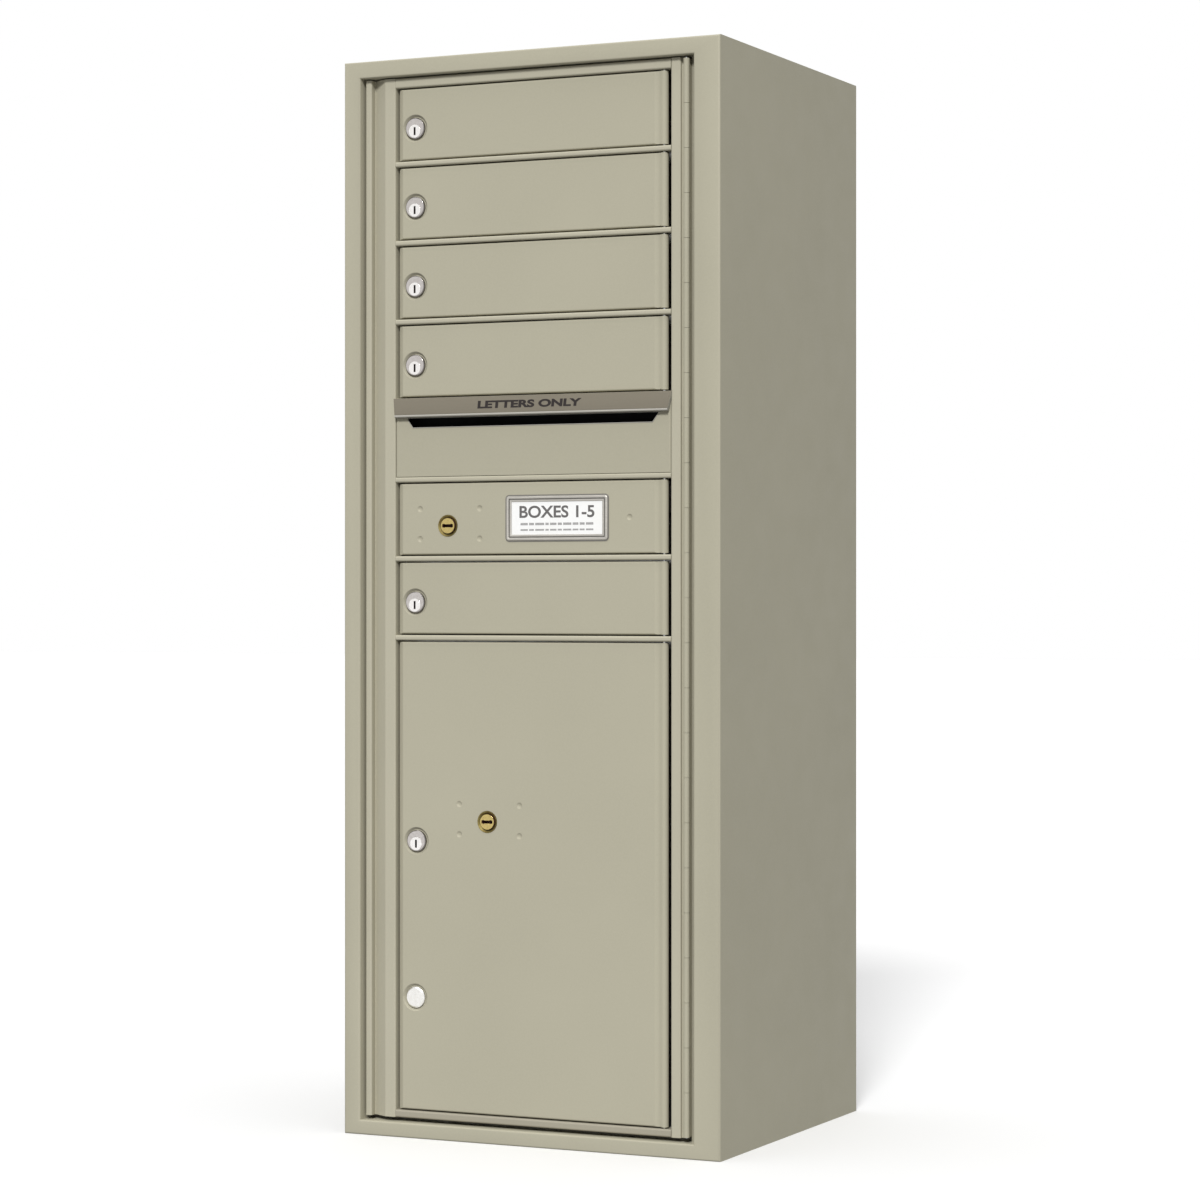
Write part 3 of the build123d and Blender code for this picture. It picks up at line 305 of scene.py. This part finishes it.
def part_painted_sheet(name, colour, paint, border):
    """Bare sheet whose front folds, ahead of a depth, are powder coated like the frame."""
    f = Finish(name)
    ragged = f.math("ADD", f.depth(), f.between(f.noise(60.0, 4.0), 0.0, 1.0, -2.0 * MM, 2.0 * MM))
    bare = f.between(ragged, border - 1.0 * MM, border + 3.0 * MM)
    rolled = f.noise(1.0, 4.0, 0.6, f.stretched((260.0, 9.0, 260.0)))
    smudge = f.between(f.noise(9.0, 5.0, 0.6), 0.4, 0.65)
    softened = f.rounded(0.3 * MM)
    metal = f.blend(f.between(rolled, 0.3, 0.7), shade(colour, 0.86), shade(colour, 1.06))
    metal = f.blend(f.math("MULTIPLY", smudge, 0.3), metal, shade(colour, 0.72))
    coated = f.blend(f.between(f.noise(5.0, 3.0), 0.3, 0.7), shade(paint, 0.96), shade(paint, 1.02))
    f.feed(f.shader.inputs["Metallic"], bare)
    roughness = f.between(bare, 0.0, 1.0, 0.5, 0.38)
    return f.finish(f.blend(bare, coated, metal), roughness, f.bump(rolled, 0.02 * MM, 0.4, softened), None)


def turned_metal(name, node, bright, dull, gloss=(0.16, 0.34), rim=None, keyway=None, keyway_shade=KEYWAY_SHADE):
    """Lathe-turned face: fine rings round the middle, dulled patches, a rim and a keyway darkened with
    painted shade.

    rim is the radius where the painted shade on the edge begins, keyway how deep the painted shade in the
    recess goes.
    """
    f = Finish(name)
    radius = f.radius(node)
    rings = f.math("SINE", f.math("MULTIPLY", radius, 2.0 * math.pi / RING_PITCH))
    patch = f.between(f.noise(320.0, 4.0, 0.6), 0.38, 0.66)
    softened = f.rounded(0.25 * MM)
    tint = f.blend(f.math("MULTIPLY", patch, 0.55), bright, dull)
    roughness = f.between(patch, 0.0, 1.0, *gloss)
    if rim:
        # painted shade round the rim, for the shadow in the dish round the head
        edge = f.between(radius, rim, rim + 0.9 * MM)
        tint = f.blend(edge, tint, shade(dull, 0.45))
    metallic = 1.0
    if keyway:
        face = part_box(node)[0].y
        # painted shade down the keyway, by depth
        inside = f.between(f.depth(), face + 0.3 * MM, face + 0.9 * MM)
        before_end = f.between(f.depth(), face + keyway, face + keyway + 0.5 * MM, 1.0, 0.0)
        recess = f.math("MULTIPLY", inside, before_end)
        tint = f.blend(recess, tint, keyway_shade)
        roughness = f.math("MAXIMUM", roughness, f.math("MULTIPLY", recess, 0.7))
        f.feed(f.shader.inputs["Metallic"], f.math("SUBTRACT", 1.0, recess))
        metallic = None
    return f.finish(tint, roughness, f.bump(rings, 0.008 * MM, 0.25, softened), metallic)


def tarnished_brass(name, colour):
    """Brass gone olive, with brown patches."""
    f = Finish(name)
    mottle = f.between(f.noise(160.0, 4.0, 0.65), 0.38, 0.64)
    fine = f.noise(1200.0, 3.0)
    softened = f.rounded(0.2 * MM)
    brown = (colour[0] * 0.55, colour[1] * 0.42, colour[2] * 0.40)
    tint = f.blend(f.math("MULTIPLY", mottle, 0.6), colour, brown)
    roughness = f.between(mottle, 0.0, 1.0, 0.48, 0.62)
    return f.finish(tint, roughness, f.bump(fine, 0.01 * MM, 0.3, softened), metallic=1.0)


def satin_frame(name, node, colour):
    """Satin metal frame, brushed along its length, with a painted shadow line where it meets the panel."""
    f = Finish(name)
    brushed = f.noise(1.0, 3.0, 0.6, f.stretched((40.0, 900.0, 900.0)))
    softened = f.rounded(0.3 * MM)
    tint = f.blend(f.between(brushed, 0.3, 0.7), shade(colour, 0.9), shade(colour, 1.08))
    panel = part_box(node)[1].y
    # painted shadow at the frame's foot, along the panel
    tint = f.blend(f.between(f.depth(), panel - 1.0 * MM, panel - 0.6 * MM), tint, shade(colour, 0.4))
    roughness = f.between(brushed, 0.3, 0.7, 0.30, 0.44)
    return f.finish(tint, roughness, f.bump(brushed, 0.02 * MM, 0.3, softened), metallic=0.6)


def printed_card(name, colour):
    """White card with a faint fibre and a thin gloss."""
    f = Finish(name)
    fibre = f.noise(1.0, 4.0, 0.7, f.stretched((1500.0, 1500.0, 500.0)))
    aged = f.between(f.noise(22.0, 3.0), 0.4, 0.7)
    yellowed = (colour[0] * 0.96, colour[1] * 0.95, colour[2] * 0.91)
    tint = f.blend(f.math("MULTIPLY", aged, 0.5), colour, yellowed)
    roughness = f.between(fibre, 0.3, 0.7, 0.40, 0.55)
    return f.finish(tint, roughness, f.bump(fibre, 0.01 * MM, 0.4), coat=0.15)


def ink(name, colour):
    """Printed ink, a little uneven."""
    f = Finish(name)
    uneven = f.between(f.noise(900.0, 3.0), 0.35, 0.65)
    tint = f.blend(uneven, colour, shade(colour, 1.3))
    roughness = f.between(uneven, 0.0, 1.0, 0.42, 0.6)
    return f.finish(tint, roughness, f.bump(uneven, 0.01 * MM, 0.3), gloss=INK_GLOSS)


def slot_shade_black(name):
    """Dull black inside the slot, painted shade for its dark inside."""
    f = Finish(name)
    dust = f.between(f.noise(40.0, 5.0, 0.65), 0.45, 0.75)
    fine = f.noise(700.0, 2.0)
    tint = f.blend(f.math("MULTIPLY", dust, 0.4), (0.002, 0.002, 0.002), (0.008, 0.007, 0.006))
    return f.finish(tint, f.between(dust, 0.0, 1.0, 0.7, 0.9), f.bump(fine, 0.04 * MM, 0.3), gloss=0.1)


def floor_finish(name):
    """Plain pale floor with the faintest unevenness."""
    f = Finish(name)
    cloud = f.between(f.noise(1.5, 2.0), 0.35, 0.65)
    tint = f.blend(cloud, FLOOR_COLOUR, shade(FLOOR_COLOUR, 0.99))
    return f.finish(tint, f.between(cloud, 0.0, 1.0, 0.75, 0.8), f.bump(cloud, 0.02 * MM, 0.1))


FINISHES = {
    "collar_paint": powder_coat("collar_paint", PAINT),
    "frame_paint": powder_coat("frame_paint", LIT_FRAME_PAINT, 0.3 * MM),
    "door_paint": powder_coat("door_paint", PAINT),
    "hinge_paint": powder_coat("hinge_paint", PAINT, 0.3 * MM),
    "hood_paint": powder_coat("hood_paint", HOOD_SHADED_PAINT),
    "cabinet_aluminium": mill_sheet("cabinet_aluminium", BARE_SHEET),
    "steel": zinc_plate("steel", ZINC),
    "lock_chrome": turned_metal("lock_chrome", "tenant_lock_plug_1", CHROME, CHROME_DULL,
                                keyway=CHROME_KEYWAY),
    "lock_brass": turned_metal("lock_brass", "arrow_lock_plug", BRASS, BRASS_DULL,
                               keyway=BRASS_KEYWAY, keyway_shade=BROWN_KEYWAY_SHADE),
    "label_frame": satin_frame("label_frame", "label_bezel", LABEL_METAL),
    "label_card": printed_card("label_card", CARD),
    "slot_black": slot_shade_black("slot_black"),
}
# painted shade: the bottom rail gets a darkened, browner copy of the frame paint
SHADED_BOTTOM_RAIL_FINISH = powder_coat("bottom_rail", SHADED_BOTTOM_RAIL_PAINT, 0.3 * MM)
# painted shade: the outgoing panel gets a darkened copy of the door paint
SHADED_PANEL_FINISH = powder_coat("outgoing_panel", shade(PAINT, PANEL_PAINTED_SHADE), 0.3 * MM)
LIP_FINISH = powder_coat("hood_lip_paint", LIP_PAINT)
HOOD_INK_FINISH = ink("hood_ink", HOOD_INK)
TITLE_INK_FINISH = ink("title_ink", TITLE_INK)
RULE_INK_FINISH = ink("rule_ink", RULE_INK)
# the folds' paint is the door paint darkened as painted shade
SIDE_FINISH = part_painted_sheet("cabinet_side", BARE_SHEET, shade(PAINT, JAMB_PAINTED_SHADE), JAMB_BORDER)
LOCK_HEAD_FINISH = turned_metal("lock_head", "tenant_lock_body_1", LOCK_HEAD, LOCK_HEAD_DULL,
                                rim=LOCK_HEAD_RIM)
CAP_FINISH = turned_metal("blank_cap", "blank_cap", CAP, CAP_DULL, rim=CAP_RIM)
SLEEVE_FINISH = tarnished_brass("brass_sleeve", SLEEVE_BRASS)


def dress(piece, material):
    """Gives a piece one material in place of whatever it has."""
    piece.data.materials.clear()
    piece.data.materials.append(material)


def dress_cad_nodes():
    """Each CAD node shows the finish of its slot in the record."""
    for part in frame["record"]["subparts"]:
        dress(NODES[part["node"]], FINISHES[part["material_slot"]])
    for node in ("cabinet_left_side", "cabinet_right_side", "cabinet_top", "cabinet_floor"):
        dress(NODES[node], SIDE_FINISH)
    dress(NODES["blank_cap"], CAP_FINISH)
    dress(NODES["outgoing_panel"], SHADED_PANEL_FINISH)
    dress(NODES["master_bottom_rail"], SHADED_BOTTOM_RAIL_FINISH)
    for node in NODES:
        if "_lock_body" in node:
            dress(NODES[node], LOCK_HEAD_FINISH)
        if node.endswith("_lock_case"):
            dress(NODES[node], SLEEVE_FINISH)


# ================================================================ pieces
def link(piece, body):
    """Puts a new piece in the scene, on its body."""
    bpy.context.scene.collection.objects.link(piece)
    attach(piece, body)
    return piece


def mesh_piece(name, build):
    """A mesh object whose geometry a function builds in a bmesh."""
    mesh = bpy.data.meshes.new(name)
    shape = bmesh.new()
    build(shape)
    bmesh.ops.recalc_face_normals(shape, faces=shape.faces)
    shape.to_mesh(mesh)
    shape.free()
    return bpy.data.objects.new(name, mesh)


def smooth(piece, angle=35.0):
    """Smooth shading, with edges sharper than an angle kept sharp."""
    piece.data.shade_smooth()
    piece.data.set_sharp_from_angle(angle=math.radians(angle))


def loop_points(low, high, radius, steps):
    """Corners of an upright rectangle as (x, z), each corner rounded if there is a radius."""
    corners = ((high[0], high[1], 0), (low[0], high[1], 90), (low[0], low[1], 180), (high[0], low[1], 270))
    points = []
    for x, z, start in corners:
        inward_x = -radius if x == high[0] else radius
        inward_z = -radius if z == high[1] else radius
        for step in range(steps + 1):
            turn = math.radians(start + 90.0 * step / max(steps, 1))
            reach = radius if steps else 0.0
            points.append((x + inward_x + reach * math.cos(turn), z + inward_z + reach * math.sin(turn)))
    return points


def loft(shape, rings):
    """Skins a closed series of rings, each a list of points of the same length."""
    made = [[shape.verts.new(point) for point in ring] for ring in rings]
    for ring, following in zip(made, made[1:] + made[:1]):
        for i in range(len(ring)):
            j = (i + 1) % len(ring)
            shape.faces.new((ring[i], ring[j], following[j], following[i]))


def fold_arc(centre, radius, start, steps=4):
    """Quarter circle of (inwards, depth) points, from an angle upwards."""
    turns = [math.radians(start + 90.0 * step / steps) for step in range(steps + 1)]
    return [(centre[0] + radius * math.cos(turn), centre[1] + radius * math.sin(turn)) for turn in turns]


def make_collar():
    """The welded collar as one piece: walls, front flanges and lips with mitred corners."""
    left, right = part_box("collar_left"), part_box("collar_right")
    top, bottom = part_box("collar_top"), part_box("collar_bottom")
    low, high = (left[0].x, left[0].z), (right[1].x, left[1].z)
    front, back = left[0].y, left[1].y
    flanges = (left[1].x - left[0].x, right[1].x - right[0].x, bottom[1].z, high[1] - top[0].z)
    bend, sheet = COLLAR_BEND, COLLAR_SHEET
    outer = [(0.0, x, y) for x, y in [(0.0, back)] + fold_arc((bend, front + bend), bend, 180.0)]
    lip_end = [(0.0, front + COLLAR_LIP)]
    inner = [(1.0, x, y) for x, y in fold_arc((-bend, front + bend), bend, 270.0) + lip_end]
    rear = [(1.0, -sheet, front + COLLAR_LIP), (1.0, -sheet, front + sheet), (0.0, sheet, front + sheet)]
    profile = outer + inner + rear + [(0.0, sheet, back)]

    def build(shape):
        rings = []
        for share, inward, depth in profile:
            set_in = [share * flange + inward for flange in flanges]
            ring_low = (low[0] + set_in[0], low[1] + set_in[2])
            ring_high = (high[0] - set_in[1], high[1] - set_in[3])
            rings.append([(x, depth, z) for x, z in loop_points(ring_low, ring_high, 0.0, 0)])
        loft(shape, rings)

    collar = link(mesh_piece("collar_shell", build), "cabinet")
    dress(collar, FINISHES["collar_paint"])
    smooth(collar)
    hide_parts("collar_left", "collar_right", "collar_top", "collar_bottom")


def make_hood():
    """Rain hood: sloping face in paint darkened as painted shade, and a pale rolled lip along its lower edge.
    """
    low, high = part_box("outgoing_hood")
    neck = low.z + HOOD_LIP_TALL
    middle = low.z + HOOD_LIP_TALL / 2
    face_top = (high.y - HOOD_TOP_PROUD, high.z)
    lip_radius = HOOD_LIP_TALL / 2
    lip_turns = [math.radians(90.0 + 180.0 * step / HOOD_LIP_STEPS) for step in range(HOOD_LIP_STEPS + 1)]
    lip = [(low.y + lip_radius + lip_radius * math.cos(turn), middle + lip_radius * math.sin(turn))
           for turn in lip_turns]
    profile = [(high.y, high.z), (face_top[0] + HOOD_EDGE, high.z), (face_top[0], high.z - HOOD_EDGE)]
    profile += [(low.y + HOOD_NECK, neck + HOOD_CREASE)] + lip + [(high.y, low.z)]
    flare = HOOD_FLARE / (high.z - low.z)

    def build(shape):
        ends = []
        for sign in (-1, 1):
            reach = [high.x - flare * (high.z - z) for y, z in profile]
            ends.append([shape.verts.new((sign * x, y, z)) for x, (y, z) in zip(reach, profile)])
        for i in range(len(profile)):
            j = (i + 1) % len(profile)
            face = shape.faces.new((ends[0][i], ends[0][j], ends[1][j], ends[1][i]))
            face.material_index = 0 if i < HOOD_DARK_FACES else 1
        for end in ends:
            shape.faces.new(end).material_index = 1

    hood = link(mesh_piece("rain_hood", build), "master_door")
    hood.data.materials.append(FINISHES["hood_paint"])
    hood.data.materials.append(LIP_FINISH)
    smooth(hood, HOOD_SHARP)
    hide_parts("outgoing_hood")
    slope = math.atan2(low.y + HOOD_NECK - face_top[0], neck - high.z)
    centre_z = (neck + high.z) / 2
    centre_y = (low.y + HOOD_NECK + face_top[0]) / 2 - INK_LIFT
    lean = 180.0 - abs(math.degrees(slope))
    centre = (0.0, centre_y, centre_z)
    words = lettering("hood_words", HOOD_TEXT, HOOD_TEXT_SIZE, centre, lean, BOLD, HOOD_INK_FINISH)
    link(words, "master_door")


def make_slot_rim():
    """Thin raised bead round the letter slot."""
    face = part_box("outgoing_panel")[0].y
    corners = [(-SLOT_HALF[0], SLOT_LEVELS[0]), (SLOT_HALF[0], SLOT_LEVELS[0]),
               (SLOT_HALF[1], SLOT_LEVELS[1]), (-SLOT_HALF[1], SLOT_LEVELS[1])]
    curve = bpy.data.curves.new("slot_rim", "CURVE")
    curve.dimensions = "3D"
    curve.bevel_depth = RIM_RADIUS
    curve.bevel_resolution = 3
    spline = curve.splines.new("POLY")
    spline.points.add(len(corners) - 1)
    for point, (x, z) in zip(spline.points, corners):
        point.co = (x, face, z, 1.0)
    spline.use_cyclic_u = True
    source = bpy.data.objects.new("slot_rim_source", curve)
    bpy.context.scene.collection.objects.link(source)
    bpy.context.view_layer.update()
    mesh = bpy.data.meshes.new_from_object(source)
    bpy.data.objects.remove(source)
    rim = link(bpy.data.objects.new("slot_rim", mesh), "master_door")
    dress(rim, LIP_FINISH)
    smooth(rim)


def make_label_frame():
    """Label frame: thin outer step, rounded rim, groove, and a low inner step at the card."""
    low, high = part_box("label_bezel")

    def build(shape):
        rings = []
        for inward, rise in LABEL_PROFILE:
            set_in, proud = inward * MM, rise * MM
            ring_low, ring_high = (low.x + set_in, low.z + set_in), (high.x - set_in, high.z - set_in)
            radius = max(LABEL_ROUND - set_in, LABEL_ROUND_LEAST)
            points = loop_points(ring_low, ring_high, radius, LABEL_ROUND_STEPS)
            rings.append([(x, high.y - proud, z) for x, z in points])
        loft(shape, rings)

    label = link(mesh_piece("label_frame", build), "master_door")
    dress(label, FINISHES["label_frame"])
    smooth(label)
    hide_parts("label_bezel")


def make_card_print():
    """A title and two rows of plain dashes on the label card."""
    low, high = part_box("label_card")
    middle = (low + high) / 2
    front = low.y - INK_LIFT
    title_at = (middle.x, front, middle.z + CARD_TITLE_RISE)
    title = lettering("card_title", CARD_TITLE, CARD_TITLE_SIZE, title_at, 0.0, THIN, TITLE_INK_FINISH)
    link(title, "master_door")

    def build(shape):
        for rise, thick in CARD_DASH_ROWS:
            total = sum(CARD_DASHES) * MM + CARD_DASH_GAP * (len(CARD_DASHES) - 1)
            x = middle.x - total / 2
            for length in CARD_DASHES:
                centre = Vector((x + length * MM / 2, front, middle.z + rise))
                size = Matrix.Diagonal((length * MM, INK_THICK, thick, 1.0))
                bmesh.ops.create_cube(shape, size=1.0, matrix=Matrix.Translation(centre) @ size)
                x += length * MM + CARD_DASH_GAP

    dashes = link(mesh_piece("card_dashes", build), "master_door")
    dress(dashes, RULE_INK_FINISH)


def lettering(name, words, size, centre, lean, weight, finish):
    """Ink letters of a width and height, facing the front, their tops leaning back by an angle."""
    curve = bpy.data.curves.new(name, "FONT")
    curve.body = words
    curve.align_x = "CENTER"
    curve.align_y = "CENTER"
    curve.size = 1.0
    curve.extrude = 0.001               # any thickness will do, as it is scaled to INK_THICK
    curve.offset = weight
    source = bpy.data.objects.new(name + "_source", curve)
    bpy.context.scene.collection.objects.link(source)
    bpy.context.view_layer.update()
    mesh = bpy.data.meshes.new_from_object(source)
    bpy.data.objects.remove(source)
    low = [min(v.co[axis] for v in mesh.vertices) for axis in range(3)]
    high = [max(v.co[axis] for v in mesh.vertices) for axis in range(3)]
    middle = Vector([(a + b) / 2 for a, b in zip(low, high)])
    scale = (size[0] / (high[0] - low[0]), size[1] / (high[1] - low[1]), INK_THICK / (high[2] - low[2]))
    stand = Matrix.Rotation(math.radians(90 - lean), 4, "X")
    place = Matrix.Translation(centre) @ stand @ Matrix.Diagonal((*scale, 1.0)) @ Matrix.Translation(-middle)
    mesh.transform(place)
    mesh.name = name
    letters = bpy.data.objects.new(name, mesh)
    dress(letters, finish)
    return letters


# ================================================================ stage
def sun_lamp(name, azimuth, elevation, spread, power):
    """Distant lamp; azimuth 0 shines from the front and positive is from the right."""
    lamp = bpy.data.lights.new(name, "SUN")
    lamp.angle = math.radians(spread)
    lamp.energy = power
    turn, rise = math.radians(azimuth), math.radians(elevation)
    towards = Vector((math.sin(turn) * math.cos(rise), -math.cos(turn) * math.cos(rise), math.sin(rise)))
    holder = bpy.data.objects.new(name, lamp)
    holder.location = towards * LAMP_DISTANCE
    holder.rotation_euler = towards.to_track_quat("Z", "Y").to_euler()
    bpy.context.scene.collection.objects.link(holder)


def make_world():
    """Even pale light all round; the backdrop is full white where it is seen or mirrored."""
    world = bpy.data.worlds.new("studio")
    world.use_nodes = True
    tree = world.node_tree
    light = tree.nodes["Background"]
    light.inputs["Color"].default_value = (1.0, 1.0, 1.0, 1.0)
    light.inputs["Strength"].default_value = AMBIENT
    seen = tree.nodes.new("ShaderNodeBackground")
    seen.inputs["Color"].default_value = (1.0, 1.0, 1.0, 1.0)
    seen.inputs["Strength"].default_value = BACKGROUND_WHITE
    chooser = tree.nodes.new("ShaderNodeMixShader")
    path = tree.nodes.new("ShaderNodeLightPath")
    either = tree.nodes.new("ShaderNodeMath")
    either.operation = "MAXIMUM"
    tree.links.new(path.outputs["Is Camera Ray"], either.inputs[0])
    tree.links.new(path.outputs["Is Glossy Ray"], either.inputs[1])
    tree.links.new(either.outputs["Value"], chooser.inputs["Fac"])
    tree.links.new(light.outputs["Background"], chooser.inputs[1])
    tree.links.new(seen.outputs["Background"], chooser.inputs[2])
    tree.links.new(chooser.outputs["Shader"], tree.nodes["World Output"].inputs["Surface"])
    bpy.context.scene.world = world


def make_floor():
    def build(shape):
        bmesh.ops.create_grid(shape, x_segments=1, y_segments=1, size=FLOOR_SIZE / 2)
    floor = mesh_piece("floor", build)
    dress(floor, floor_finish("floor"))
    bpy.context.scene.collection.objects.link(floor)
    floor.visible_diffuse = False       # it shows and takes shadows, but throws no light back up


def make_camera():
    lens = bpy.data.cameras.new("camera")
    lens.lens = CAMERA_LENS
    lens.sensor_width = CAMERA_SENSOR
    lens.shift_y = CAMERA_SHIFT_Y
    camera = bpy.data.objects.new("camera", lens)
    camera.location = CAMERA_PLACE
    camera.rotation_euler = (math.radians(90), 0.0, math.radians(CAMERA_TURN))
    bpy.context.scene.collection.objects.link(camera)
    bpy.context.scene.camera = camera


dress_cad_nodes()
make_collar()
make_hood()
make_slot_rim()
make_label_frame()
make_card_print()
make_world()
make_floor()
for lamp in LAMPS:
    sun_lamp(*lamp)
make_camera()
bpy.context.scene.view_settings.view_transform = "Standard"
